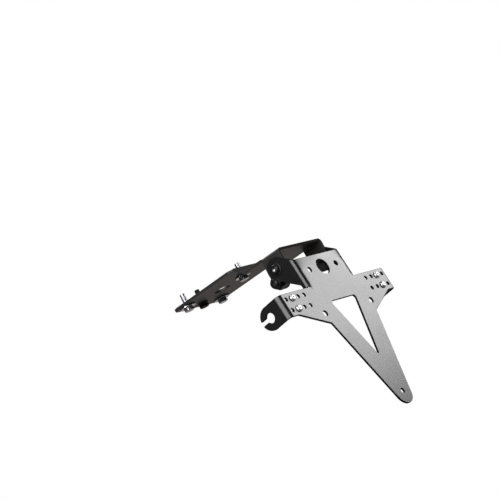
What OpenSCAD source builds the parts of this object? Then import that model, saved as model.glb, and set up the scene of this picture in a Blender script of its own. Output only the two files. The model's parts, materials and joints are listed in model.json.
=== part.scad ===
// Tail tidy: a folded carrier that bolts up under a tail, and a tilting number plate holder.
// Millimetres. X is to the right seen from behind, Y runs to the front of the bike, Z is up.
// The origin is on top of the carrier's front plate, midway between its two side screws.

/* [Holder face] */
// Height of the face from the tip to the top edge
face_h = 180; // [170:1:200]
// Thickness of the holder sheet
sheet_t = 2.5; // [2:0.5:3]
// Width of the block over its bent cheeks
block_w = 81.6; // [80:0.2:86]
// Height of the block above the wings
block_h = 33; // [30:0.5:36]
// Inner radius of the bend from the block to a cheek
cheek_bend = 1; // [0.5:0.25:2]
// Width over the two ears
wing_span = 188.5; // [183:0.5:195]
// Height of a wing at its ear
wing_h = 25.5; // [24:0.5:28]
// Inner radius of the bend from a wing to its ear
ear_bend = 3.5; // [2:0.25:4]
// Level part of the wing's lower edge, measured from the bend
wing_level = 8.5; // [5:0.5:12]
// Half width of the face where the wing's lower edge meets the leg
shoulder_x = 40; // [38:0.5:44]
// Drop of the wing's lower edge from the ear to the leg
shoulder_drop = 18; // [14:0.5:22]
// Radius of the round tip
tip_r = 12.5; // [11:0.5:14]
// Gap of the relief cuts beside the ends of the bends
relief = 1; // [0.6:0.1:1.5]

/* [Cut-outs and holes in the face] */
// Distance of the triangle's top edge below the top of the face
tri_top = 53.8; // [52:0.2:58]
// Half width of the triangle at its top edge, before the corners are rounded
tri_half = 22; // [18:0.5:23]
// Height of the triangle, before the corners are rounded
tri_h = 70; // [60:1:72]
// Radius of the triangle's upper corners
tri_corner = 3; // [1.5:0.25:4]
// Radius of the triangle's lower corner
tri_apex = 1.2; // [0.6:0.2:2]
// Diameter of the hole for the plate light's cable
light_hole = 18; // [12:0.5:20]
// Distance of the light's three holes below the top of the face
light_drop = 15; // [13:0.5:18]
// Diameter of the light's two screw holes
light_screw_hole = 6; // [4:0.1:7]
// Distance between the light's two screw holes
light_pitch = 46.4; // [40:0.2:54]
// Diameter of the wing holes
wing_hole = 4.5; // [4.4:0.1:6]
// Distance between neighbouring columns of wing holes
wing_pitch = 10; // [9:0.5:10.5]
// Distance of the outer column of wing holes from the outside of the ear
wing_margin = 9.25; // [8:0.25:12]
// Distance between the two rows of wing holes
row_pitch = 12.5; // [10:0.5:14]
// Columns of holes in each wing
wing_columns = 4; // [3:1:4]
// Diameter of the hole below each wing
side_hole = 6.6; // [5:0.1:8]
// Distance between the holes below the wings
side_pitch = 82; // [78:0.5:86]
// Distance of those holes below the top of the face
side_drop = 64.7; // [62:0.1:68]
// Diameter of the hole in the tip
tip_hole = 5.5; // [4:0.1:7]
// Height of that hole above the tip
tip_hole_h = 14; // [12:0.5:16]

/* [Ears] */
// Distance of the keyhole behind the face
ear_reach = 21.75; // [20:0.25:26]
// Diameter of the keyhole
key_hole = 10.5; // [8:0.25:12]
// Width of the slot from the keyhole to the end of the ear
key_slot = 4.2; // [4:0.1:6]
// Radius at the two corners of the slot's mouth
key_mouth = 1; // [0.5:0.1:1.5]

/* [Pivot and cheek arms] */
// Distance of the pivot behind the face
pivot_y = 22.2; // [21:0.1:24]
// Height of the pivot above the top of the face
pivot_up = 3.4; // [2.5:0.1:5]
// Slope of the cheek arms in degrees
arm_slope = 42.4; // [40:0.2:44]
// Radius of the round end of an arm
arm_r = 12.2; // [11.5:0.1:13]
// Depth of the cheek's foot behind the face
foot_y = 7.3; // [6:0.1:9]
// Radius of the inside corner between foot and arm
foot_r = 4; // [2:0.5:5]
// Distance from the pivot to the lock screw
lock_r = 14.6; // [13.5:0.1:15.5]
// Half width of the tab that takes the lock screw
tab_half = 6.4; // [6.1:0.1:6.8]
// Room to tilt the tip forwards in degrees
tilt_front = 10; // [4:1:12]
// Room to tilt the tip backwards in degrees
tilt_back = 30; // [15:1:34]

/* [Carrier] */
// Rise of the carrier towards the front in degrees
base_rise = 6; // [3:0.5:8]
// Thickness of the carrier sheet
carrier_t = 3; // [2.5:0.25:3.5]
// Inner bend radius of the carrier
carrier_bend = 2; // [1:0.25:3]
// Gap between a carrier cheek and the holder cheek outside it
cheek_gap = 0.3; // [0.2:0.1:0.6]
// Height of the web's underside above the pivot
web_up = 15.6; // [15:0.1:17]
// Cheek edge behind the pivot
cheek_rear = 11; // [10:0.5:13]
// Cheek edge in front of the pivot
cheek_front = 14.5; // [13.5:0.5:16]
// How far the web in front of the cheeks is narrower than over the cheeks, on each side
neck_in = 1; // [0:0.5:3]
// Rise of the joggle from the web to the front plate
joggle_up = 9; // [7:0.5:11]
// Start of the joggle in front of the pivot
joggle_y = 42; // [40:0.5:46]
// How far the front plate is wider than the web, on each side
front_out = 4; // [2:0.5:7]
// Distance of the side base screws from the front end of the plate
front_margin = 14; // [12:0.5:20]
// Radius of the front plate's corners
front_r = 10; // [6:0.5:12]
// Outer radius of the left cheek's lobe around the pivot
lobe_r = 21.4; // [20.8:0.1:22.4]
// Diameter of the cable hole in the front plate
cable_hole = 18; // [14:0.5:20]
// Place of the cable hole in front of the pivot
cable_y = 106; // [102:0.5:109]

/* [Screws] */
// Radial clearance of the pivot screw in the holder's arm
pivot_fit = 0.08; // [0.03:0.01:0.1]
// Radial clearance of screws in their other holes
screw_fit = 0.2; // [0.15:0.05:0.4]
// Length of the pivot and lock screws under the head
pivot_len = 18; // [16:1:20]
// Diameter of the pivot washers
pivot_washer_d = 14; // [12:0.5:15]
// Diameter of the lock washer
lock_washer_d = 12; // [11:0.5:12.5]
// Diameter of the backing washer behind the curved slot
backing_d = 16; // [12:0.5:17]
// Thickness of the pivot and lock washers
washer_t = 1.2; // [1:0.1:1.6]
// Axial play between the holder's arms and the pieces that clamp them
play = 0.05; // [0.03:0.01:0.1]
// Column of the plate screws, counted from the inside
plate_column = 2; // [1:1:2]
// Length of the plate screws under the head
plate_screw_len = 12; // [10:1:16]
// Distance of the rear base screw in front of the pivot
base_rear_y = 73; // [68:0.5:76]
// Distance of the two side base screws in front of the pivot
base_side_y = 135; // [130:0.5:136]
// Distance of the two side base screws from the sides of the front plate
base_side_in = 12; // [10:0.5:13]
// How far the front base screw lies ahead of the two side ones
base_ahead = 3; // [0:0.5:5]
// Length of the base screws under the head
base_len = 16; // [14:1:25]
// Flange diameter of the front base screw
base_flange_d = 13; // [12:0.5:15]
// Diameter of the base washers
base_washer_d = 18; // [16:0.5:18]
// Thickness of the base washers
base_washer_t = 1.6; // [1.2:0.1:2]
// Sideways room of the base screws in their slots
base_slot = 4; // [2:0.5:6]

/* [Hidden] */
$fn = 48;

// M6 for pivot, lock and base screws: button head, its key, nut, and plain and flanged hexagon head
m6 = 6;
m6_head_d = 10.5;
m6_head_h = 3.3;
m6_key = 4;
m6_nut_w = 10;
m6_nut_h = 6;
m6_hex_h = 4;
m6_flanged_h = 5;

// M4 for the plate screws: button head, its key and nut
m4 = 4;
m4_head_d = 7.6;
m4_head_h = 2.2;
m4_key = 2.5;
m4_nut_w = 7;
m4_nut_h = 5;

// How far a carrier bend runs on into the flats that it joins
lap = 1;

// How far the plain neck of a base screw is turned down below the thread's radius
neck_cut = 0.2;

// Holder levels and bend lines, with heights counted from the tip
cheek_out = cheek_bend + sheet_t;
ear_out = ear_bend + sheet_t;
block_x = block_w / 2 - cheek_out;
wing_x = wing_span / 2 - ear_out;
wing_top = face_h - block_h;
wing_low = wing_top - wing_h;
wing_mid = (wing_top + wing_low) / 2;
ear_r = wing_h / 2;
level_x = wing_x - wing_level;
shoulder_z = wing_low - shoulder_drop;
pivot_z = face_h + pivot_up;
light_z = face_h - light_drop;
side_z = face_h - side_drop;
tri_z = face_h - tri_top;
column_x = [for (i = [wing_columns - 1 : -1 : 0]) wing_span / 2 - wing_margin - i * wing_pitch];
plate_x = column_x[plate_column];
row_z = [wing_mid - row_pitch / 2, wing_mid + row_pitch / 2];

// Tangent from the shoulder corner to the round tip
tip_d = norm([shoulder_x, shoulder_z - tip_r]);
tip_a = atan2(shoulder_z - tip_r, shoulder_x) - acos(tip_r / tip_d);
tip_t = [tip_r * cos(tip_a), tip_r + tip_r * sin(tip_a)];

// Cheek planes
arm_x = block_w / 2;
arm_in = arm_x - sheet_t;
cheek_x = arm_in - cheek_gap;
cheek_in = cheek_x - carrier_t;
carrier_out = carrier_bend + carrier_t;
neck_w = 2 * (cheek_x - neck_in);
front_w = neck_w + 2 * front_out;
base_side_pitch = front_w - 2 * base_side_in;
front_end = base_side_y + front_margin;
base_front_y = base_side_y + base_ahead;

// Lock screw and slot, with angles from straight down, forwards positive
lock_a = arm_slope;
slot_a = lock_a - base_rise;
slot_front = slot_a + tilt_front;
slot_rear = slot_a - tilt_back;
slot_end = lobe_r - lock_r;

// Top of the front plate above the pivot, and the origin seen from the face's tip
base_top = web_up + joggle_up + carrier_t;
origin_y = pivot_y + base_side_y * cos(base_rise) - base_top * sin(base_rise);
origin_z = pivot_z + base_side_y * sin(base_rise) + base_top * cos(base_rise);

// Head and nut sizes by screw
function head_d(d) = d == m6 ? m6_head_d : m4_head_d;
function head_h(d) = d == m6 ? m6_head_h : m4_head_h;
function key_w(d) = d == m6 ? m6_key : m4_key;
function nut_w(d) = d == m6 ? m6_nut_w : m4_nut_w;
function nut_h(d) = d == m6 ? m6_nut_h : m4_nut_h;

// Points of an arc
function arc(c, r, a0, a1, n = 8) =
    [for (i = [0 : n]) c + r * [cos(a0 + (a1 - a0) * i / n), sin(a0 + (a1 - a0) * i / n)]];

// Arc that rounds the corner p between the points a and b
function unit(v) = v / norm(v);
function corner(a, p, b, r, n = 6) =
    let (u = unit(a - p), v = unit(b - p), h = acos(u * v) / 2, m = unit(u + v))
    let (c = p + m * r / sin(h), t0 = p + u * r / tan(h) - c, t1 = p + v * r / tan(h) - c)
    let (a0 = atan2(t0[1], t0[0]), d = atan2(t0[0] * t1[1] - t0[1] * t1[0], t0 * t1))
    arc(c, r, a0, a0 + d, n);

// Moves what is built from the tip of the face into the frame of the part
module from_tip() {
    translate([0, -origin_y, -origin_z]) children();
}

// Outline in X and Z, raised along Y
module upright(t, y = 0) {
    translate([0, y + t, 0]) rotate([90, 0, 0]) linear_extrude(t) children();
}

// Outline in Y and Z, raised along X from x
module sideways(x, t) {
    translate([x, 0, 0]) rotate([90, 0, 90]) linear_extrude(t) children();
}

// Bored hole along Y through the face
module face_hole(x, z, d) {
    translate([x, -1, z]) rotate([-90, 0, 0]) cylinder(d = d, h = sheet_t + 2);
}

// Quarter of a bend about a vertical line, from the face round to the side
module bend(r_in, z0, z1) {
    translate([0, r_in + sheet_t, z0]) linear_extrude(z1 - z0) difference() {
        intersection() {
            circle(r = r_in + sheet_t);
            translate([0, -r_in - sheet_t]) square(r_in + sheet_t);
        }
        circle(r = r_in);
    }
}

// Flat outline of the face between its bend lines
module face_outline() {
    half = [
        [block_x, face_h], [block_x, wing_top], [wing_x, wing_top], [wing_x, wing_low],
        [level_x, wing_low], [shoulder_x, shoulder_z], tip_t
    ];
    n = len(half);
    polygon(concat(half, [for (i = [n - 1 : -1 : 0]) [-half[i][0], half[i][1]]]));
    translate([0, tip_r]) circle(r = tip_r);
}

// Triangular cut-out with round corners
module triangle() {
    a = [-tri_half, tri_z];
    b = [tri_half, tri_z];
    c = [0, tri_z - tri_h];
    polygon(concat(corner(c, a, b, tri_corner), corner(a, b, c, tri_corner),
        corner(b, c, a, tri_apex)));
}

// Arm from the block's side edge to the pivot, in Y and Z
module arm_outline() {
    s = sin(arm_slope);
    c = cos(arm_slope);
    top = [pivot_y - arm_r * s, pivot_z + arm_r * c];
    low = [pivot_y + arm_r * s, pivot_z - arm_r * c];
    fillet = [foot_y + foot_r, low[1] + ((foot_y + foot_r - low[0]) * s - foot_r) / c];
    polygon(concat(
        [[cheek_out, wing_top + relief], [foot_y, wing_top + relief]],
        arc(fillet, foot_r, 180, 90 + arm_slope),
        [low, top, [cheek_out, top[1] - (top[0] - cheek_out) * s / c]]));
    translate([pivot_y, pivot_z]) circle(r = arm_r);
}

// Tab of the left arm, square to it, with the lock screw at its end
module tab_outline() {
    translate([pivot_y, pivot_z]) rotate(lock_a) {
        translate([-tab_half, -lock_r]) square([2 * tab_half, lock_r]);
        translate([0, -lock_r]) circle(r = tab_half);
    }
}

// Ear behind a wing, in Y and Z, with its open keyhole
module ear_outline() {
    difference() {
        union() {
            translate([ear_out, wing_low]) square([ear_reach - ear_out, wing_h]);
            translate([ear_reach, wing_mid]) circle(r = ear_r);
        }
        translate([ear_reach, wing_mid]) {
            circle(d = key_hole);
            translate([0, -key_slot / 2]) square([ear_r + 1, key_slot]);
            mouth_corner();
            mirror([0, 1]) mouth_corner();
        }
    }
}

// What rounds the upper corner of the slot's mouth, seen from the keyhole's centre
module mouth_corner() {
    z = key_slot / 2 + key_mouth;
    c = [sqrt(pow(ear_r - key_mouth, 2) - z * z), z];
    difference() {
        polygon([c, [c[0], 0], [ear_r + 1, 0], c + 2 * key_mouth * unit(c)]);
        translate(c) circle(r = key_mouth);
    }
}

// One side of the holder on +X, with the tab on the left side only
module holder_side(with_tab) {
    slope = tan(arm_slope);
    top_y = pivot_y - arm_r * sin(arm_slope);
    top_z = pivot_z + arm_r * cos(arm_slope);
    edge_z = top_z - top_y * slope;
    difference() {
        translate([block_x, 0, 0]) bend(cheek_bend, wing_top + relief, edge_z + cheek_out * slope);
        sideways(block_x - 1, cheek_out + 2)
            polygon([[-1, edge_z - slope], [cheek_out + 1, edge_z + (cheek_out + 1) * slope],
                [cheek_out + 1, edge_z + 2 * arm_r], [-1, edge_z + 2 * arm_r]]);
    }
    difference() {
        sideways(arm_in, sheet_t) union() {
            arm_outline();
            if (with_tab) tab_outline();
        }
        translate([arm_in - 1, pivot_y, pivot_z]) rotate([0, 90, 0])
            cylinder(r = m6 / 2 + pivot_fit, h = sheet_t + 2);
        if (with_tab) translate([arm_in - 1, pivot_y, pivot_z]) rotate([lock_a, 0, 0])
            translate([0, 0, -lock_r]) rotate([0, 90, 0])
                cylinder(r = m6 / 2 + screw_fit, h = sheet_t + 2);
    }
    translate([wing_x, 0, 0]) bend(ear_bend, wing_low, wing_top);
    sideways(wing_span / 2 - sheet_t, sheet_t) ear_outline();
}

module plate_holder() {
    color([0.09, 0.09, 0.1]) from_tip() {
        difference() {
            upright(sheet_t) difference() {
                face_outline();
                triangle();
            }
            face_hole(0, light_z, light_hole);
            for (s = [-1, 1]) {
                face_hole(s * light_pitch / 2, light_z, light_screw_hole);
                face_hole(s * side_pitch / 2, side_z, side_hole);
                for (x = column_x, z = row_z) face_hole(s * x, z, wing_hole);
            }
            face_hole(0, tip_hole_h, tip_hole);
        }
        holder_side(false);
        mirror([1, 0, 0]) holder_side(true);
    }
}

// Places its children in the carrier's own frame: origin at the pivot, Y along the base
module on_carrier() {
    from_tip() translate([0, pivot_y, pivot_z]) rotate([base_rise, 0, 0]) children();
}

// Side profile of web, joggle and front plate in the carrier's frame, in Y and Z
module base_profile() {
    j = joggle_up;
    k = carrier_t * tan(22.5);
    polygon([
        [-cheek_rear, web_up], [joggle_y + k, web_up], [joggle_y + j + k, web_up + j],
        [front_end, web_up + j], [front_end, web_up + j + carrier_t],
        [joggle_y + j, web_up + j + carrier_t], [joggle_y, web_up + carrier_t],
        [-cheek_rear, web_up + carrier_t]
    ]);
}

// Plan of the same in X and Y
module base_plan() {
    n = neck_w / 2;
    f = front_w / 2;
    y0 = cheek_front + relief;
    y1 = joggle_y + joggle_up + carrier_t;
    w = cheek_x - carrier_out;
    pts = [
        [w, -cheek_rear], [w, y0], [n, y0], [n, y1], [f, y1 + f - n],
        [f, front_end], [0, front_end]
    ];
    right = concat([for (i = [0 : 4]) pts[i]], corner(pts[4], pts[5], pts[6], front_r));
    n2 = len(right);
    polygon(concat(right, [for (i = [n2 - 1 : -1 : 0]) [-right[i][0], right[i][1]]]));
}

// Bend from the web down to a cheek, on +X
module web_bend() {
    w = cheek_x - carrier_out;
    z = web_up - carrier_bend;
    translate([w, cheek_front, z]) rotate([90, 0, 0]) linear_extrude(cheek_front + cheek_rear) {
        difference() {
            intersection() {
                circle(r = carrier_out);
                square(carrier_out);
            }
            circle(r = carrier_bend);
        }
        translate([-lap, carrier_bend]) square([lap, carrier_t]);
        translate([carrier_bend, -lap]) square([carrier_t, lap]);
    }
}

// Outline of a carrier cheek in the carrier's frame, in Y and Z
module cheek_outline() {
    top = web_up - carrier_bend;
    translate([-cheek_rear, 0]) square([cheek_rear + cheek_front, top]);
    intersection() {
        circle(r = cheek_front);
        translate([-cheek_rear, -cheek_front]) square([cheek_rear + cheek_front, cheek_front]);
    }
}

// Lobe of the left cheek around the pivot, with a round end about each end of the slot
module lobe_outline() {
    a0 = -90 + slot_rear;
    a1 = -90 + slot_front;
    polygon(concat([[0, 0]], arc([0, 0], lobe_r, a0, a1, 12)));
    for (a = [a0, a1]) rotate(a) translate([lock_r, 0]) circle(r = slot_end);
}

// Curved slot about the pivot for the lock screw
module slot_outline() {
    a0 = -90 + slot_rear;
    a1 = -90 + slot_front;
    r = m6 / 2 + screw_fit;
    polygon(concat(arc([0, 0], lock_r + r, a0, a1, 12), arc([0, 0], lock_r - r, a1, a0, 12)));
    for (a = [a0, a1]) rotate(a) translate([lock_r, 0]) circle(r = r);
}

// Slot across the front plate for a base screw, in the carrier's frame
module base_slot_cut(x, y, room) {
    r = m6 / 2 + screw_fit;
    translate([x, y, web_up + joggle_up - 1]) {
        for (s = [-1, 1]) translate([s * room / 2, 0, 0]) cylinder(r = r, h = carrier_t + 2);
        translate([-room / 2, -r, 0]) cube([room, 2 * r, carrier_t + 2]);
    }
}

module carrier_bracket() {
    color([0.07, 0.07, 0.08]) on_carrier() {
        difference() {
            intersection() {
                sideways(-front_w / 2, front_w) base_profile();
                translate([0, 0, web_up - 1]) linear_extrude(joggle_up + carrier_t + 2) base_plan();
            }
            translate([0, cable_y, web_up + joggle_up - 1]) cylinder(d = cable_hole, h = carrier_t + 2);
            base_slot_cut(0, base_rear_y, base_slot);
            translate([0, base_front_y, web_up + joggle_up - 1])
                cylinder(r = m6 / 2 + screw_fit, h = carrier_t + 2);
            for (s = [-1, 1]) base_slot_cut(s * base_side_pitch / 2, base_side_y, base_slot);
        }
        web_bend();
        mirror([1, 0, 0]) web_bend();
        difference() {
            sideways(cheek_in, carrier_t) cheek_outline();
            translate([cheek_in - 1, 0, 0]) rotate([0, 90, 0])
                cylinder(r = m6 / 2 + screw_fit, h = carrier_t + 2);
        }
        difference() {
            sideways(-cheek_x, carrier_t) difference() {
                union() {
                    cheek_outline();
                    lobe_outline();
                }
                slot_outline();
            }
            translate([-cheek_x - 1, 0, 0]) rotate([0, 90, 0])
                cylinder(r = m6 / 2 + screw_fit, h = carrier_t + 2);
        }
    }
}

// Shank along +Z from z = 0, with a chamfered end
module shank(d, len) {
    tip = 0.1 * d;
    cylinder(d = d, h = len - tip);
    translate([0, 0, len - tip]) cylinder(d1 = d, d2 = d - 2 * tip, h = tip);
}

// Button head screw along +Z: the head is below the seat at z = 0, the shank above it
module button_screw(d, len) {
    r = head_d(d) / 2;
    h = head_h(d);
    rim = 0.25 * h;
    flat = 0.42 * r;
    difference() {
        union() {
            rotate_extrude() polygon(concat(
                [[0, 0], [r, 0], [r, -rim]],
                [for (i = [1 : 6]) [r - (r - flat) * i / 6, -rim - (h - rim) * sin(15 * i)]],
                [[0, -h]]));
            shank(d, len);
        }
        translate([0, 0, -h - 1]) cylinder(d = key_w(d) / cos(30), h = 1 + 0.55 * h, $fn = 6);
    }
}

// Hexagon from z = 0 to h, with its corners turned off at the low end and, if asked, at both
module hexagon(w, h, both) {
    r = w / cos(30) / 2;
    cut = 0.07 * w;
    intersection() {
        cylinder(r = r, h = h, $fn = 6);
        rotate_extrude() polygon([[0, 0], [w / 2 - cut / 2, 0], [r, cut],
            [r, both ? h - cut : h], [both ? w / 2 : r, h], [0, h]]);
    }
}

// Nyloc nut along +Z from its seat at z = 0: a hexagon and the collar round its nylon ring
module nyloc(d) {
    w = nut_w(d);
    h = nut_h(d);
    collar = 0.47 * w;
    difference() {
        union() {
            hexagon(w, 0.7 * h, true);
            rotate_extrude() polygon([[0, 0.5 * h], [collar, 0.5 * h], [collar, 0.84 * h],
                [0.8 * collar, h], [0, h]]);
        }
        translate([0, 0, -1]) cylinder(d = d, h = h + 2);
    }
}

// Flat washer from z = 0 upwards
module washer(d_in, d_out, t) {
    difference() {
        cylinder(d = d_out, h = t);
        translate([0, 0, -1]) cylinder(d = d_in, h = t + 2);
    }
}

// Hexagon head screw along +Z: head below the seat at z = 0, turned down neck and thread above it
module hex_screw(d, head, neck, len) {
    translate([0, 0, -head]) hexagon(nut_w(d), head, false);
    cylinder(r = d / 2 - neck_cut, h = neck);
    translate([0, 0, neck]) shank(d, len - neck);
}

// Flange under a hexagon head, below z = 0
module flange(d, outer) {
    t = 0.11 * d;
    translate([0, 0, -2 * t]) cylinder(d1 = nut_w(d) / cos(30), d2 = outer, h = t);
    translate([0, 0, -t]) cylinder(d = outer, h = t);
}

// Stands its children on the left side, pointing inwards along +X, at a radius and angle
module from_left(x, r = 0, a = 0) {
    from_tip() translate([x, pivot_y + r * sin(a), pivot_z - r * cos(a)]) rotate([0, 90, 0])
        children();
}

// Seats on the left side, counted outwards from the arms
arm_seat = -arm_x - play;
head_seat = arm_seat - washer_t;
nut_seat = -cheek_in;
tab_seat = -arm_x;
lock_head_seat = tab_seat - washer_t;
backing_seat = -cheek_in + play;
lock_nut_seat = backing_seat + washer_t;

module pivot_screw_left() {
    color([0.16, 0.16, 0.17]) from_left(head_seat) button_screw(m6, pivot_len);
}
module pivot_screw_right() {
    color([0.16, 0.16, 0.17]) mirror([1, 0, 0]) from_left(head_seat) button_screw(m6, pivot_len);
}
module pivot_washer_left() {
    color([0.2, 0.2, 0.21]) from_left(head_seat) washer(m6 + 2 * screw_fit, pivot_washer_d, washer_t);
}
module pivot_washer_right() {
    color([0.2, 0.2, 0.21]) mirror([1, 0, 0]) from_left(head_seat)
        washer(m6 + 2 * screw_fit, pivot_washer_d, washer_t);
}
module pivot_nut_left() {
    color([0.16, 0.16, 0.17]) from_left(nut_seat) nyloc(m6);
}
module pivot_nut_right() {
    color([0.16, 0.16, 0.17]) mirror([1, 0, 0]) from_left(nut_seat) nyloc(m6);
}
module lock_screw() {
    color([0.16, 0.16, 0.17]) from_left(lock_head_seat, lock_r, lock_a) button_screw(m6, pivot_len);
}
module lock_washer() {
    color([0.2, 0.2, 0.21]) from_left(lock_head_seat, lock_r, lock_a)
        washer(m6 + 2 * screw_fit, lock_washer_d, washer_t);
}
module lock_backing() {
    color([0.2, 0.2, 0.21]) from_left(backing_seat, lock_r, lock_a)
        washer(m6 + 2 * screw_fit, backing_d, washer_t);
}
module lock_nut() {
    color([0.16, 0.16, 0.17]) from_left(lock_nut_seat, lock_r, lock_a) nyloc(m6);
}

// Plate screw in a wing, head on the face
module plate_screw(side, row) {
    color([0.8, 0.8, 0.82]) from_tip() translate([side * plate_x, 0, row_z[row]])
        rotate([-90, 0, 0]) button_screw(m4, plate_screw_len);
}
module plate_nut(side, row) {
    color([0.6, 0.6, 0.62]) from_tip() translate([side * plate_x, sheet_t, row_z[row]])
        rotate([-90, 0, 0]) nyloc(m4);
}
module plate_screw_lu() { plate_screw(-1, 1); }
module plate_screw_ll() { plate_screw(-1, 0); }
module plate_screw_ru() { plate_screw(1, 1); }
module plate_screw_rl() { plate_screw(1, 0); }
module plate_nut_lu() { plate_nut(-1, 1); }
module plate_nut_ll() { plate_nut(-1, 0); }
module plate_nut_ru() { plate_nut(1, 1); }
module plate_nut_rl() { plate_nut(1, 0); }

// Screws and washers under the front plate
plate_under = web_up + joggle_up;
module base_screw(x, y) {
    color([0.75, 0.75, 0.77]) on_carrier() translate([x, y, plate_under - base_washer_t])
        hex_screw(m6, m6_hex_h, base_washer_t + carrier_t, base_len);
}
module base_washer(x, y) {
    color([0.8, 0.8, 0.82]) on_carrier() translate([x, y, plate_under - base_washer_t])
        washer(m6 + 2 * screw_fit, base_washer_d, base_washer_t);
}
module base_screw_rear() { base_screw(0, base_rear_y); }
module base_screw_left() { base_screw(-base_side_pitch / 2, base_side_y); }
module base_screw_right() { base_screw(base_side_pitch / 2, base_side_y); }
module base_washer_rear() { base_washer(0, base_rear_y); }
module base_washer_left() { base_washer(-base_side_pitch / 2, base_side_y); }
module base_washer_right() { base_washer(base_side_pitch / 2, base_side_y); }
module base_screw_front() {
    color([0.1, 0.1, 0.11]) on_carrier() translate([0, base_front_y, plate_under]) {
        hex_screw(m6, m6_flanged_h, carrier_t, base_len);
        flange(m6, base_flange_d);
    }
}

carrier_bracket();
plate_holder();
pivot_screw_left();
pivot_screw_right();
pivot_washer_left();
pivot_washer_right();
pivot_nut_left();
pivot_nut_right();
lock_screw();
lock_washer();
lock_backing();
lock_nut();
plate_screw_lu();
plate_screw_ll();
plate_screw_ru();
plate_screw_rl();
plate_nut_lu();
plate_nut_ll();
plate_nut_ru();
plate_nut_rl();
base_screw_rear();
base_screw_left();
base_screw_right();
base_screw_front();
base_washer_rear();
base_washer_left();
base_washer_right();
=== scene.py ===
import json
import math

import bmesh
import bpy
from mathutils import Matrix, Vector


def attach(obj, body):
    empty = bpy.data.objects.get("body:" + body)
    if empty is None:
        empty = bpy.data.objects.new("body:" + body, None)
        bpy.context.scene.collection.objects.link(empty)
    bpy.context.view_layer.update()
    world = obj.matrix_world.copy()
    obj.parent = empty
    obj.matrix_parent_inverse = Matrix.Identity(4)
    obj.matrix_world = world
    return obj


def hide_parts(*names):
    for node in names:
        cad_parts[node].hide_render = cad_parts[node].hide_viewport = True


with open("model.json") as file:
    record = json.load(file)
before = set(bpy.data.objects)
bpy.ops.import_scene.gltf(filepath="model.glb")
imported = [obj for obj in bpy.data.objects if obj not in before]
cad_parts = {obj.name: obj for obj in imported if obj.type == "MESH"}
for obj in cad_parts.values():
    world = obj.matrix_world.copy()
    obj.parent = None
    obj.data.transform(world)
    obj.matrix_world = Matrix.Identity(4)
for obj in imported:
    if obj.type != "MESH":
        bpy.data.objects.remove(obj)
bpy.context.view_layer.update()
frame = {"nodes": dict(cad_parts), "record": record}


# Carrier bracket.
# A 3 mm steel sheet, laser cut, joggled and folded, which bolts flat up under the tail.
# Its cut edges are tumbled round before the satin black powder coat is baked on.
def pick(obj):
    """Leaves obj alone selected and active."""
    bpy.ops.object.select_all(action="DESELECT")
    obj.select_set(True)
    bpy.context.view_layer.objects.active = obj
    return obj


def apply(obj, kind, **settings):
    """Adds a modifier to obj and applies it."""
    pick(obj)
    modifier = obj.modifiers.new(kind.lower(), kind)
    for name, value in settings.items():
        setattr(modifier, name, value)
    bpy.ops.object.modifier_apply(modifier=modifier.name)
    return obj


def finish(obj, body, slot, material, *nodes):
    """Gives a finished piece its material, if it has none, and its body, and hides the nodes that it
    stands for.
    """
    if not obj.data.materials:
        obj.data.materials.append(material)
    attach(obj, body)
    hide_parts(*nodes)


facet_gap, hole_reach = 0.00022, 0.024
flat_angle, smooth_angle, edge_angle = (math.radians(a) for a in (0.5, 35, 40))


def cut_edges(sheet):
    """The sharp edges of a sheet, gathered loop by loop."""
    faces = {}
    for face in sheet.data.polygons:
        for key in face.edge_keys:
            faces.setdefault(key, []).append(face.normal)
    sharp = [e for e in sheet.data.edges
             if len(faces[e.key]) == 2 and faces[e.key][0].angle(faces[e.key][1]) > edge_angle]
    loop_of = {}
    for edge in sharp:
        first, second = (loop_of.get(v, {v}) for v in edge.vertices)
        if first is not second:
            first |= second
            for v in first:
                loop_of[v] = first
    return sharp, loop_of


def coated_sheet(node, name, rounding, hole_rounding):
    """A copy of a sheet whose outline is rounded, and its small holes less so."""
    sheet = bpy.data.objects.new(name, frame["nodes"][node].data.copy())
    bpy.context.scene.collection.objects.link(sheet)
    sheet.data.materials.clear()
    pick(sheet)
    bpy.ops.object.mode_set(mode="EDIT")
    bpy.ops.mesh.select_all(action="SELECT")
    bpy.ops.mesh.remove_doubles(threshold=facet_gap)
    bpy.ops.mesh.dissolve_limited(angle_limit=flat_angle)
    bpy.ops.object.mode_set(mode="OBJECT")
    sharp, loop_of = cut_edges(sheet)
    weights = sheet.data.attributes.new("bevel_weight_edge", "FLOAT", "EDGE")
    for edge in sharp:
        places = [sheet.data.vertices[v].co for v in loop_of[edge.vertices[0]]]
        reach = max((p - places[0]).length for p in places)
        weights.data[edge.index].value = 1 if reach > hole_reach else hole_rounding / rounding
    lows = [min(corner[axis] for corner in sheet.bound_box) for axis in range(3)]
    highs = [max(corner[axis] for corner in sheet.bound_box) for axis in range(3)]
    apply(sheet, "BEVEL", width=rounding, segments=3, limit_method="WEIGHT", use_clamp_overlap=False)
    for v in sheet.data.vertices:
        v.co = [min(max(at, low), high) for at, low, high in zip(v.co, lows, highs)]
    pick(sheet)
    bpy.ops.object.shade_smooth_by_angle(angle=smooth_angle)
    apply(sheet, "WEIGHTED_NORMAL", keep_sharp=True, weight=100)
    return sheet


def link(tree, source, output, target, slot):
    """Joins a node's output to another node's input."""
    tree.links.new(source.outputs[output], target.inputs[slot])


def node_in(tree, kind, **inputs):
    """Adds a shader node with values on its input sockets."""
    made = tree.nodes.new(kind)
    for name, value in inputs.items():
        made.inputs[name.replace("_", " ")].default_value = value
    return made


def sum_in(tree, operation, *values):
    """A Math node fed by numbers and by (node, output) pairs."""
    made = tree.nodes.new("ShaderNodeMath")
    made.operation = operation
    for slot, value in enumerate(values):
        if isinstance(value, tuple):
            link(tree, *value, made, slot)
        else:
            made.inputs[slot].default_value = value
    return made


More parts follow.
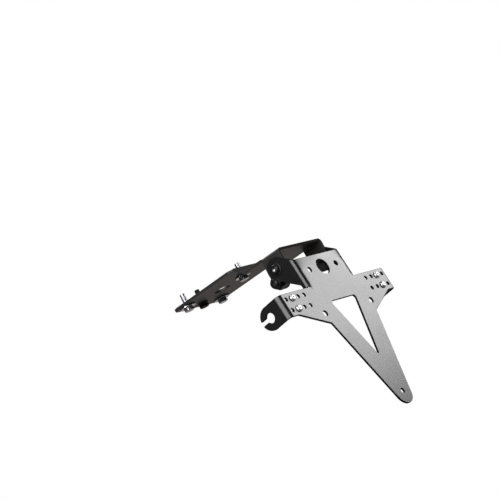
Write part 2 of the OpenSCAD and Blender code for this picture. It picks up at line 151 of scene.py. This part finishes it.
def group_with(name, inputs, outputs):
    """A shader node group with float inputs and the named outputs."""
    tree = bpy.data.node_groups.new(name, "ShaderNodeTree")
    for label, value in inputs.items():
        kind = "NodeSocketColor" if isinstance(value, tuple) else "NodeSocketFloat"
        socket = tree.interface.new_socket(label, in_out="INPUT", socket_type=kind)
        socket.default_value = value
    for label, kind in outputs.items():
        tree.interface.new_socket(label, in_out="OUTPUT", socket_type=kind)
    return tree, tree.nodes.new("NodeGroupInput"), tree.nodes.new("NodeGroupOutput")


# Powder coat.
# Sprayed as powder and baked: an orange peel with fine grains and clouds of slightly higher gloss.
# It runs thin and dull on the cut edges, which are told from the flats by where they face; their darker
# colour there is painted shade.
# The last of these darkens the colour on the cut edges as painted shade.
edge_rougher, edge_duller, painted_edge_shade = 0.2, -0.85, -0.5
powder, powder_in, powder_out = group_with(
    "powder_coat",
    {"Colour": (0.02, 0.02, 0.02, 1.0), "Peel Scale": 650.0, "Grain Scale": 2600.0, "Gloss": 0.36,
     "Shine": 0.5, "Edge Y": 0.0, "Edge Z": 0.0, "Edge From": 0.75, "Edge To": 0.95},
    {"Shade": "NodeSocketColor", "Roughness": "NodeSocketFloat", "Height": "NodeSocketFloat",
     "Shine": "NodeSocketFloat"})
place = node_in(powder, "ShaderNodeTexCoord")
peel = node_in(powder, "ShaderNodeTexNoise", Detail=2.0, Roughness=0.5)
grain = node_in(powder, "ShaderNodeTexNoise", Detail=1.0, Roughness=0.6)
cloud = node_in(powder, "ShaderNodeTexNoise", Scale=38.0, Detail=3.0, Roughness=0.6)
link(powder, powder_in, "Peel Scale", peel, "Scale")
link(powder, powder_in, "Grain Scale", grain, "Scale")
for texture in (peel, grain, cloud):
    link(powder, place, "Object", texture, "Vector")
relief = sum_in(powder, "MULTIPLY_ADD", (grain, "Fac"), 0.35, (peel, "Fac"))
link(powder, relief, "Value", powder_out, "Height")
facing = powder.nodes.new("ShaderNodeSeparateXYZ")
link(powder, place, "Normal", facing, "Vector")
across = sum_in(powder, "MULTIPLY", (facing, "Y"), (powder_in, "Edge Y"))
across = sum_in(powder, "MULTIPLY_ADD", (facing, "Z"), (powder_in, "Edge Z"), (across, "Value"))
across = sum_in(powder, "ABSOLUTE", (across, "Value"))
edge = powder.nodes.new("ShaderNodeMapRange")
link(powder, across, "Value", edge, "Value")
link(powder, powder_in, "Edge From", edge, "From Min")
link(powder, powder_in, "Edge To", edge, "From Max")
gloss = node_in(powder, "ShaderNodeMapRange", To_Min=-0.025, To_Max=0.025)
link(powder, cloud, "Fac", gloss, "Value")
rough = sum_in(powder, "ADD", (gloss, "Result"), (powder_in, "Gloss"))
rough = sum_in(powder, "MULTIPLY_ADD", (edge, "Result"), edge_rougher, (rough, "Value"))
link(powder, rough, "Value", powder_out, "Roughness")
shine = sum_in(powder, "MULTIPLY_ADD", (edge, "Result"), edge_duller, 1.0)
shine = sum_in(powder, "MULTIPLY", (shine, "Value"), (powder_in, "Shine"))
link(powder, shine, "Value", powder_out, "Shine")
speck = node_in(powder, "ShaderNodeMapRange", From_Min=0.35, From_Max=0.75, To_Min=0.85, To_Max=1.35)
link(powder, grain, "Fac", speck, "Value")
# Painted shade: the colour is darkened on the edges that the mask picks, on top of the grain's random
# tone.
grain_and_painted_shade = sum_in(powder, "MULTIPLY_ADD", (edge, "Result"), painted_edge_shade, 1.0)
grain_and_painted_shade = sum_in(powder, "MULTIPLY", (grain_and_painted_shade, "Value"), (speck, "Result"))
tint = powder.nodes.new("ShaderNodeVectorMath")
tint.operation = "SCALE"
link(powder, powder_in, "Colour", tint, 0)
link(powder, grain_and_painted_shade, "Value", tint, "Scale")
link(powder, tint, "Vector", powder_out, "Shade")


def surface(name, effect, metallic, bump, **values):
    """A material whose colour, roughness and relief come from an effect's node group."""
    material = bpy.data.materials.new(name)
    material.use_nodes = True
    tree = material.node_tree
    shader = tree.nodes["Principled BSDF"]
    shader.inputs["Metallic"].default_value = metallic
    made = tree.nodes.new("ShaderNodeGroup")
    made.node_tree = effect
    for label, value in values.items():
        made.inputs[label.replace("_", " ")].default_value = value
    rise = node_in(tree, "ShaderNodeBump", Strength=1.0, Distance=bump)
    link(tree, made, "Shade", shader, "Base Color")
    link(tree, made, "Roughness", shader, "Roughness")
    link(tree, made, "Height", rise, "Height")
    link(tree, rise, "Normal", shader, "Normal")
    if "Shine" in made.outputs:
        link(tree, made, "Shine", shader, "Specular IOR Level")
    return material


# Edge_Y marks the faces towards the back and front as cut edges; their colour is darkened as painted
# shade.
carrier_coat = surface("carrier_coat", powder, 0.0, 0.00003, Colour=(0.02, 0.0184, 0.0178, 1.0),
                       Gloss=0.46, Shine=0.32, Edge_Y=1.0)
carrier = coated_sheet("carrier_bracket", "carrier_sheet", 0.0006, 0.0004)
finish(carrier, "carrier", "carrier", carrier_coat, "carrier_bracket")


# Plate holder.
# One 2.5 mm sheet with two arms folded forwards at its block and an ear behind each wing, powder
# coated like the carrier. The press draws its face in a little beside the two bends of the block.
drawn_slope, drawn_low, drawn_high = 0.14, 0.0025, 0.026
crease_slope, crease_reach = 0.25, 0.001
drawn_end = 0.004
drawn, drawn_in, drawn_out = group_with(
    "drawn_in", {"Bend": 0.0373, "Low": -0.078, "Middle": -0.059, "High": -0.045},
    {"Normal": "NodeSocketVector"})
spot = node_in(drawn, "ShaderNodeTexCoord")
parts = drawn.nodes.new("ShaderNodeSeparateXYZ")
link(drawn, spot, "Object", parts, "Vector")
off = sum_in(drawn, "ABSOLUTE", (parts, "X"))
off = sum_in(drawn, "SUBTRACT", (drawn_in, "Bend"), (off, "Value"))
off = sum_in(drawn, "ABSOLUTE", (off, "Value"))
span = node_in(drawn, "ShaderNodeMapRange", To_Min=-drawn_low, To_Max=-drawn_high)
link(drawn, parts, "Z", span, "Value")
link(drawn, drawn_in, "Middle", span, "From Min")
link(drawn, drawn_in, "High", span, "From Max")
wide = sum_in(drawn, "DIVIDE", (off, "Value"), (span, "Result"))
wide = sum_in(drawn, "EXPONENT", (wide, "Value"))
crease = sum_in(drawn, "DIVIDE", (off, "Value"), -crease_reach)
crease = sum_in(drawn, "EXPONENT", (crease, "Value"))
crease = sum_in(drawn, "MULTIPLY", (crease, "Value"), crease_slope)
slope = sum_in(drawn, "MULTIPLY_ADD", (wide, "Value"), drawn_slope, (crease, "Value"))
start = sum_in(drawn, "SUBTRACT", (drawn_in, "Low"), drawn_end)
full = sum_in(drawn, "ADD", (drawn_in, "Low"), drawn_end)
above = node_in(drawn, "ShaderNodeMapRange")
link(drawn, parts, "Z", above, "Value")
link(drawn, start, "Value", above, "From Min")
link(drawn, full, "Value", above, "From Max")
slope = sum_in(drawn, "MULTIPLY", (slope, "Value"), (above, "Result"))
outwards = sum_in(drawn, "SIGN", (parts, "X"))
slope = sum_in(drawn, "MULTIPLY", (slope, "Value"), (outwards, "Value"))
lean = drawn.nodes.new("ShaderNodeCombineXYZ")
link(drawn, slope, "Value", lean, "X")
flat = drawn.nodes.new("ShaderNodeNewGeometry")
leant = drawn.nodes.new("ShaderNodeVectorMath")
link(drawn, flat, "Normal", leant, 0)
link(drawn, lean, "Vector", leant, 1)
unit = drawn.nodes.new("ShaderNodeVectorMath")
unit.operation = "NORMALIZE"
link(drawn, leant, "Vector", unit, 0)
link(drawn, unit, "Vector", drawn_out, "Normal")

# Edge_Z marks the faces that turn up or down as cut edges; their colour is darkened as painted shade.
holder_coat = surface("holder_coat", powder, 0.0, 0.000009, Colour=(0.007, 0.007, 0.0074, 1.0),
                      Gloss=0.27, Edge_Z=1.0, Edge_From=0.04, Edge_To=0.26)
tree = holder_coat.node_tree
hollow = tree.nodes.new("ShaderNodeGroup")
hollow.node_tree = drawn
link(tree, hollow, "Normal", tree.nodes["Bump"], "Normal")
holder = coated_sheet("plate_holder", "holder_sheet", 0.0005, 0.0003)
finish(holder, "holder", "holder", holder_coat, "plate_holder")


# Button head screws.
# Black coated M6 screws at the pivot and the lock, and bright M4 screws in the wings.
# The head is turned with a domed top, the hexagon socket is punched and the thread is rolled.
steel, steel_in, steel_out = group_with(
    "turned_steel",
    {"Colour": (0.6, 0.6, 0.6, 1.0), "Gloss": 0.28, "Cloud Scale": 160.0},
    {"Shade": "NodeSocketColor", "Roughness": "NodeSocketFloat", "Height": "NodeSocketFloat"})
where = node_in(steel, "ShaderNodeTexCoord")
plating = node_in(steel, "ShaderNodeTexNoise", Detail=4.0, Roughness=0.6)
scratch = node_in(steel, "ShaderNodeTexNoise", Scale=4200.0, Detail=1.0)
link(steel, steel_in, "Cloud Scale", plating, "Scale")
for texture in (plating, scratch):
    link(steel, where, "Object", texture, "Vector")
dull = node_in(steel, "ShaderNodeMapRange", To_Min=-0.08, To_Max=0.1)
link(steel, plating, "Fac", dull, "Value")
steel_rough = sum_in(steel, "ADD", (dull, "Result"), (steel_in, "Gloss"))
link(steel, steel_rough, "Value", steel_out, "Roughness")
fade = node_in(steel, "ShaderNodeMapRange", To_Min=0.82, To_Max=1.12)
link(steel, plating, "Fac", fade, "Value")
steel_tint = steel.nodes.new("ShaderNodeVectorMath")
steel_tint.operation = "SCALE"
link(steel, steel_in, "Colour", steel_tint, 0)
link(steel, fade, "Result", steel_tint, "Scale")
link(steel, steel_tint, "Vector", steel_out, "Shade")
link(steel, scratch, "Fac", steel_out, "Height")

black_steel = surface("black_steel", steel, 0.0, 0.000005, Colour=(0.007, 0.007, 0.0075, 1.0),
                      Gloss=0.36)
black_steel.node_tree.nodes["Principled BSDF"].inputs["Specular IOR Level"].default_value = 0.28
stainless = surface("stainless", steel, 1.0, 0.000004, Colour=(0.9, 0.9, 0.91, 1.0), Gloss=0.47)
worn_steel = surface("worn_steel", steel, 1.0, 0.000006, Colour=(0.4, 0.39, 0.38, 1.0), Gloss=0.34)


def turned(name, profile, sides=48):
    """A solid turned about Z: a disc is extruded and scaled along (radius, height) steps."""
    bpy.ops.object.select_all(action="DESELECT")
    radius, height = profile[0]
    bpy.ops.mesh.primitive_circle_add(vertices=sides, radius=radius, fill_type="NGON",
                                      location=(0, 0, height))
    made = bpy.context.object
    made.name = made.data.name = name
    bpy.ops.object.mode_set(mode="EDIT")
    for r, z in profile[1:]:
        bpy.ops.mesh.extrude_region_move(TRANSFORM_OT_translate={"value": (0, 0, z - height)})
        bpy.ops.transform.resize(value=(r / radius, r / radius, 1))
        radius, height = r, z
    bpy.ops.mesh.select_all(action="SELECT")
    bpy.ops.mesh.normals_make_consistent(inside=False)
    bpy.ops.object.mode_set(mode="OBJECT")
    bpy.ops.object.transform_apply(location=True, rotation=True, scale=True)
    return made


def corner_radius(width):
    """How far the corners of a hexagon lie from its middle, for its width over the flats."""
    return width / 2 / math.cos(math.radians(30))


def prism(width, low, high):
    """A hexagon bar of that width over its flats."""
    bpy.ops.object.select_all(action="DESELECT")
    bpy.ops.mesh.primitive_cylinder_add(vertices=6, radius=corner_radius(width), depth=high - low,
                                        location=(0, 0, (low + high) / 2))
    bpy.ops.object.transform_apply(location=True, rotation=True, scale=True)
    return bpy.context.object


def combine(obj, tool, operation):
    """Joins obj with tool, cuts tool out of it or keeps what they share. The tool is used up."""
    apply(obj, "BOOLEAN", object=tool, operation=operation, solver="EXACT")
    bpy.data.objects.remove(tool)
    return obj


thread_steps, thread_sides = 8, 28


def thread(radius, pitch, start, end):
    """A rolled thread along Z with a chamfered end."""
    depth = 0.61 * pitch
    crest, flank = 0.125, 0.6
    turns = math.ceil((end - start) / pitch)
    bpy.ops.object.select_all(action="DESELECT")
    bpy.ops.mesh.primitive_cylinder_add(vertices=thread_sides, radius=radius, depth=pitch,
                                        end_fill_type="NOTHING", location=(0, 0, start + pitch / 2))
    rod = bpy.context.object
    bpy.ops.object.transform_apply(location=True, rotation=True, scale=True)
    bpy.ops.object.mode_set(mode="EDIT")
    bpy.ops.mesh.select_mode(type="EDGE")
    bpy.ops.mesh.select_all(action="DESELECT")
    wires = bmesh.from_edit_mesh(rod.data)
    for edge in wires.edges:
        edge.select_set(abs(edge.verts[0].co.z - edge.verts[1].co.z) > pitch / 2)
    bmesh.update_edit_mesh(rod.data)
    bpy.ops.mesh.subdivide(number_cuts=thread_steps - 1)
    bpy.ops.object.mode_set(mode="OBJECT")
    for v in rod.data.vertices:
        phase = ((v.co.z - start) / pitch - math.atan2(v.co.y, v.co.x) / math.tau) % 1
        groove = min(1, max(0, (abs(2 * phase - 1) - crest) / flank))
        share = 1 - depth * groove / radius
        v.co.x *= share
        v.co.y *= share
    apply(rod, "ARRAY", count=turns, use_relative_offset=False, use_constant_offset=True,
          constant_offset_displace=(0, 0, pitch), use_merge_vertices=True, merge_threshold=1e-6)
    stretch = (end - start) / (turns * pitch)
    chamfer = depth * 1.1
    for v in rod.data.vertices:
        v.co.z = start + (v.co.z - start) * stretch
        reach = math.hypot(v.co.x, v.co.y)
        most = radius - max(0, chamfer - (end - v.co.z))
        if reach > most:
            v.co.x *= most / reach
            v.co.y *= most / reach
    pick(rod)
    bpy.ops.object.mode_set(mode="EDIT")
    bpy.ops.mesh.select_all(action="SELECT")
    bpy.ops.mesh.fill_holes(sides=0)
    bpy.ops.mesh.normals_make_consistent(inside=False)
    bpy.ops.object.mode_set(mode="OBJECT")
    return rod


def smooth(obj):
    """Shades a turned piece smooth between its sharp corners."""
    pick(obj)
    bpy.ops.object.shade_smooth_by_angle(angle=math.radians(32))
    return obj


flat_share, dome_share, socket_share = 0.42, 0.75, 0.55
dome_steps = 7
overlap = 0.0004


def button_screw(name, size, pitch, length, head, height, key, metal, socket):
    """A button head screw along Z, with its head's top at z = 0, and a socket of another finish."""
    rim, sink, tip, past = 0.0002, 0.0007, 0.0001, 0.001
    dome = [(head / 2 * flat_share, 0.0)]
    for i in range(1, dome_steps + 1):
        a = math.radians(90 * i / dome_steps)
        dome.append((head / 2 * (flat_share + (1 - flat_share) * math.sin(a)),
                     dome_share * height * (1 - math.cos(a))))
    dome += [(head / 2, height - rim), (head / 2 - rim, height)]
    screw = turned(name, dome)
    socket_z = socket_share * height
    combine(screw, prism(key, -past, socket_z), "DIFFERENCE")
    point = turned("point", [(key * 0.48, socket_z - tip), (tip, socket_z + sink)], 24)
    combine(screw, point, "DIFFERENCE")
    combine(screw, thread(size / 2, pitch, height - overlap, height + length), "UNION")
    screw.data.materials.append(metal)
    screw.data.materials.append(socket)
    for face in screw.data.polygons:
        inside = math.hypot(face.center.x, face.center.y) < key * 0.56
        face.material_index = int(inside and tip < face.center.z < socket_z + past)
    return smooth(screw)


def seat(node, axis):
    """Where a fastener's node starts along its axis, as a matrix with Z along that axis."""
    along = Vector(axis).normalized()
    across = Vector((1, 0, 0)) if abs(along.x) < 0.5 else Vector((0, 1, 0))
    side = along.cross(across)
    places = [v.co for v in frame["nodes"][node].data.vertices]
    low = min(p.dot(along) for p in places)
    spans = [[p.dot(d) for p in places] for d in (across, side)]
    middle = [(min(s) + max(s)) / 2 for s in spans]
    origin = along * low + across * middle[0] + side * middle[1]
    turn = Matrix((across, side, along)).transposed()
    return Matrix.Translation(origin) @ turn.to_4x4()


def fit(model, node, name, axis, body, slot, material, turn=0):
    """Sets a copy of a fastener in its node's place."""
    piece = bpy.data.objects.new(name, model.data.copy())
    bpy.context.scene.collection.objects.link(piece)
    piece.data.transform(seat(node, axis) @ Matrix.Rotation(math.radians(turn), 4, "Z"))
    finish(piece, body, slot, material, node)
    return piece


from_left, from_right, from_behind = (1, 0, 0), (-1, 0, 0), (0, 1, 0)
pivot_button = button_screw("pivot_button", size=0.006, pitch=0.001, length=0.018, head=0.0105,
                            height=0.0033, key=0.004, metal=black_steel, socket=worn_steel)
for side, axis, turn in (("left", from_left, 14), ("right", from_right, 37)):
    fit(pivot_button, f"pivot_screw_{side}", f"pivot_button_{side}", axis, "carrier", "black_screw",
        black_steel, turn)
lock_button = button_screw("lock_button", size=0.006, pitch=0.001, length=0.018, head=0.0105,
                           height=0.0033, key=0.004, metal=black_steel, socket=black_steel)
fit(lock_button, "lock_screw", "lock_button_left", from_left, "holder", "black_screw", black_steel, 51)
plate_button = button_screw("plate_button", size=0.004, pitch=0.0007, length=0.012, head=0.0076,
                            height=0.0022, key=0.0025, metal=stainless, socket=stainless)
for turn, place in enumerate(("lu", "ll", "ru", "rl")):
    fit(plate_button, f"plate_screw_{place}", f"plate_button_{place}", from_behind, "holder", "stainless",
        stainless, 17 * turn)


# Washers.
# Stamped steel rings under the pivot, lock and base screws, with edges that the stamping rounds.
def washer(name, inner, outer, thickness):
    """A stamped ring from z = 0."""
    past = 0.001
    ring = turned(name, [(outer / 2, 0), (outer / 2, thickness)], 64)
    combine(ring, turned("bore", [(inner / 2, -past), (inner / 2, thickness + past)]), "DIFFERENCE")
    apply(ring, "BEVEL", width=0.00018, segments=2, limit_method="ANGLE", angle_limit=edge_angle)
    return smooth(ring)


pivot_ring = washer("pivot_ring", inner=0.0064, outer=0.014, thickness=0.0012)
lock_ring = washer("lock_ring", inner=0.0064, outer=0.012, thickness=0.0012)
backing_ring = washer("backing_ring", inner=0.0064, outer=0.016, thickness=0.0012)
for side, axis in (("left", from_left), ("right", from_right)):
    fit(pivot_ring, f"pivot_washer_{side}", f"pivot_ring_{side}", axis, "carrier", "black_screw",
        black_steel)
fit(lock_ring, "lock_washer", "lock_ring_outer", from_left, "holder", "black_screw", black_steel)
fit(backing_ring, "lock_backing", "lock_ring_inner", from_left, "holder", "black_screw", black_steel)


# Locking nuts.
# Cold formed hexagons with a rolled collar that holds a nylon ring, black coated on the pivot
# and lock screws with a dark ring, zinc plated on the plate screws with a pale one.
zinc = surface("zinc", steel, 1.0, 0.000006, Colour=(0.62, 0.63, 0.65, 1.0), Gloss=0.3)
pale_nylon = surface("pale_nylon", steel, 0.0, 0.000004, Colour=(0.72, 0.74, 0.78, 1.0), Gloss=0.42)
dark_nylon = surface("dark_nylon", steel, 0.0, 0.000004, Colour=(0.03, 0.03, 0.034, 1.0), Gloss=0.46)


def locking_nut(name, size, width, height, metal, nylon):
    """A nylon insert nut along Z, seated at z = 0."""
    wall, lip, past = 0.0003, 0.0007, 0.001
    hexagon, ring_z = 0.7 * height, 0.72 * height
    corner = corner_radius(width)
    nut = turned(name, [(width / 2 * 0.97, 0), (corner, 0.0005), (corner, hexagon - 0.0008),
                        (width / 2 * 0.97, hexagon)])
    combine(nut, prism(width, -past, height), "INTERSECT")
    collar = turned("collar", [(width / 2 - wall, 0.4 * height), (width / 2 - wall, height - 0.0009),
                               (width / 2 - lip, height - 0.0003), (width / 2 - 0.001, height)])
    combine(nut, collar, "UNION")
    combine(nut, turned("bore", [(size / 2, -past), (size / 2, height + past)]), "DIFFERENCE")
    recess = size / 2 + 0.0007
    combine(nut, turned("recess", [(recess, ring_z), (recess, height + past)]), "DIFFERENCE")
    nut.data.materials.append(metal)
    outer = recess + 0.00005
    ring = turned("ring", [(outer, 0.71 * height), (outer, height - 0.0005),
                           (outer - wall, height - 0.0003)])
    combine(ring, turned("bore", [(size / 2, -past), (size / 2, height + past)]), "DIFFERENCE")
    ring.data.materials.append(nylon)
    smooth(ring)
    smooth(nut)
    ring.select_set(True)
    bpy.ops.object.join()
    return nut


pivot_lock = locking_nut("pivot_lock", size=0.006, width=0.010, height=0.006, metal=black_steel,
                         nylon=dark_nylon)
for side, axis in (("left", from_left), ("right", from_right)):
    fit(pivot_lock, f"pivot_nut_{side}", f"pivot_lock_{side}", axis, "carrier", "black_screw",
        black_steel)
fit(pivot_lock, "lock_nut", "lock_lock", from_left, "holder", "black_screw", black_steel)
plate_lock = locking_nut("plate_lock", size=0.004, width=0.007, height=0.005, metal=zinc,
                         nylon=pale_nylon)
for place in ("lu", "ll", "ru", "rl"):
    fit(plate_lock, f"plate_nut_{place}", f"plate_lock_{place}", from_behind, "holder", "zinc", zinc)


# Base screws.
# Three bright hexagon head screws with wide washers and a black flanged one.
# They go up through the front plate into the tail.
base_up = tuple(next(m for m in frame["record"]["mounts"] if m["name"] == "base_studs")["axis"])
bright = surface("bright", steel, 1.0, 0.000005, Colour=(0.7, 0.71, 0.73, 1.0), Gloss=0.24)


def hexagon_screw(name, size, length, width, height, neck, flange=0):
    """A hexagon head screw along Z, with its head's top at z = 0 and a turned down neck."""
    chamfer, past = 0.0008, 0.001
    blank = corner_radius(width) + 0.0002
    screw = turned(name, [(width / 2 - overlap, 0), (blank, chamfer), (blank, height)])
    bar = apply(prism(width, -past, height + past), "BEVEL", width=0.0002, segments=2)
    combine(screw, bar, "INTERSECT")
    if flange:
        brim, rim = 0.0004, 0.0005
        skirt = turned("skirt", [(width / 2 - overlap, height - 2 * chamfer),
                                 (flange / 2 - brim, height - chamfer),
                                 (flange / 2, height - rim), (flange / 2, height)])
        combine(screw, skirt, "UNION")
    neck_radius = size / 2 - 0.0002
    waist = turned("waist", [(neck_radius, height - overlap), (neck_radius, height + neck + overlap)])
    combine(screw, waist, "UNION")
    combine(screw, thread(size / 2, 0.001, height + neck, height + length), "UNION")
    return smooth(screw)


base_bolt = hexagon_screw("base_bolt", size=0.006, length=0.016, width=0.010, height=0.004, neck=0.0046)
base_ring = washer("base_ring", inner=0.0064, outer=0.018, thickness=0.0016)
for place in ("rear", "left", "right"):
    fit(base_bolt, f"base_screw_{place}", f"base_bolt_{place}", base_up, "carrier", "bright_steel",
        bright)
    fit(base_ring, f"base_washer_{place}", f"base_ring_{place}", base_up, "carrier", "bright_steel",
        bright)
flange_bolt = hexagon_screw("flange_bolt", size=0.006, length=0.016, width=0.010, height=0.005,
                            neck=0.003, flange=0.013)
fit(flange_bolt, "base_screw_front", "base_bolt_front", base_up, "carrier", "black_screw", black_steel)

for model in (pivot_button, lock_button, plate_button, pivot_ring, lock_ring, backing_ring,
              pivot_lock, plate_lock, base_bolt, base_ring, flange_bolt):
    bpy.data.objects.remove(model)


# Stage.
# A pale floor far below the part, which keeps its shadow.
# Reflections don't see it, so that the black sheets stay dark.
floor_z = -0.62
bpy.ops.object.select_all(action="DESELECT")
bpy.ops.mesh.primitive_plane_add(size=16, location=(0, 0, floor_z))
floor = bpy.context.object
floor.name = "floor"
paper = bpy.data.materials.new("paper")
paper.use_nodes = True
tree = paper.node_tree
tree.nodes["Principled BSDF"].inputs["Base Color"].default_value = (0.84, 0.82, 0.81, 1)
tree.nodes["Principled BSDF"].inputs["Roughness"].default_value = 0.9
tree.nodes["Principled BSDF"].inputs["Emission Color"].default_value = (1, 1, 1, 1)
below = tree.nodes.new("ShaderNodeNewGeometry")
clear = tree.nodes.new("ShaderNodeBsdfTransparent")
either = tree.nodes.new("ShaderNodeMixShader")
path = tree.nodes.new("ShaderNodeLightPath")
pale = sum_in(tree, "MULTIPLY", (path, "Is Camera Ray"), 0.7)
link(tree, pale, "Value", tree.nodes["Principled BSDF"], "Emission Strength")
unseen = sum_in(tree, "MAXIMUM", (below, "Backfacing"), (path, "Is Glossy Ray"))
link(tree, unseen, "Value", either, 0)
link(tree, tree.nodes["Principled BSDF"], "BSDF", either, 1)
link(tree, clear, "BSDF", either, 2)
link(tree, either, "Shader", tree.nodes["Material Output"], "Surface")
floor.data.materials.append(paper)


# World.
# White to the camera, and for the part a dim room that is lighter and warmer low ahead of it.
pale_way = (0.62, 0.78, 0.0)
world = bpy.data.worlds.new("studio")
bpy.context.scene.world = world
world.use_nodes = True
tree = world.node_tree
tree.nodes.clear()
seen = tree.nodes.new("ShaderNodeLightPath")
white = node_in(tree, "ShaderNodeBackground", Color=(1, 1, 1, 1), Strength=1.0)
room = tree.nodes.new("ShaderNodeBackground")
aim = tree.nodes.new("ShaderNodeTexCoord")
side = tree.nodes.new("ShaderNodeVectorMath")
side.operation = "DOT_PRODUCT"
side.inputs[1].default_value = pale_way
ahead = node_in(tree, "ShaderNodeMapRange", From_Min=0.3, From_Max=0.9)
level = tree.nodes.new("ShaderNodeSeparateXYZ")
low = node_in(tree, "ShaderNodeMapRange", From_Min=0.08, From_Max=-0.06)
blend = tree.nodes.new("ShaderNodeMix")
blend.data_type = "RGBA"
blend.inputs["A"].default_value = (0.05, 0.05, 0.052, 1)
blend.inputs["B"].default_value = (0.44, 0.4, 0.38, 1)
link(tree, aim, "Generated", side, 0)
link(tree, side, "Value", ahead, "Value")
link(tree, aim, "Generated", level, "Vector")
link(tree, level, "Z", low, "Value")
band = sum_in(tree, "MULTIPLY", (ahead, "Result"), (low, "Result"))
link(tree, band, "Value", blend, "Factor")
link(tree, blend, "Result", room, "Color")
choice = tree.nodes.new("ShaderNodeMixShader")
result = tree.nodes.new("ShaderNodeOutputWorld")
link(tree, seen, "Is Camera Ray", choice, 0)
link(tree, room, "Background", choice, 1)
link(tree, white, "Background", choice, 2)
link(tree, choice, "Shader", result, "Surface")


# Lamps.
# A soft box in the face's mirror direction, a wide one at the left that draws the light lines
# along the bends, and one above.
target = Vector((0, -0.15, -0.1))


def soft_box(name, heading, climb, distance, wide, high, power):
    """An area lamp that faces the part, with its heading from behind to the right in degrees."""
    lamp = bpy.data.lights.new(name, "AREA")
    lamp.shape = "RECTANGLE"
    lamp.size, lamp.size_y = wide, high
    lamp.energy = power
    box = bpy.data.objects.new(name, lamp)
    bpy.context.scene.collection.objects.link(box)
    round_z, up = math.radians(heading), math.radians(climb)
    towards = Vector((math.sin(round_z) * math.cos(up), -math.cos(round_z) * math.cos(up), math.sin(up)))
    box.location = target + towards * distance
    box.rotation_euler = towards.to_track_quat("Z", "Y").to_euler()


soft_box("face_light", heading=56.5, climb=14.5, distance=3.2, wide=1.64, high=0.8, power=38)
soft_box("bend_light", heading=-67.5, climb=15, distance=1.6, wide=2.3, high=0.6, power=33)
soft_box("top_light", heading=135, climb=74, distance=1.8, wide=1.2, high=1.2, power=14)


# Camera.
# Low at the left behind the part and leaning to the side, as the photograph was taken.
lens_px, image_px = 1827.5, 500
eye_place = (-1.5005, -1.1732, -0.4770)
camera = bpy.data.cameras.new("camera")
camera.sensor_width = 36
camera.lens = lens_px / image_px * camera.sensor_width
camera.clip_end = 50
eye = bpy.data.objects.new("camera", camera)
bpy.context.scene.collection.objects.link(eye)
heading, climb, lean = (math.radians(a) for a in (-54.1, 14.6, -32.3))
eye.matrix_world = (Matrix.Translation(eye_place)
                    @ Matrix.Rotation(heading, 4, "Z") @ Matrix.Rotation(math.pi / 2 + climb, 4, "X")
                    @ Matrix.Rotation(lean, 4, "Z"))
bpy.context.scene.camera = eye
bpy.context.scene.view_settings.view_transform = "Standard"
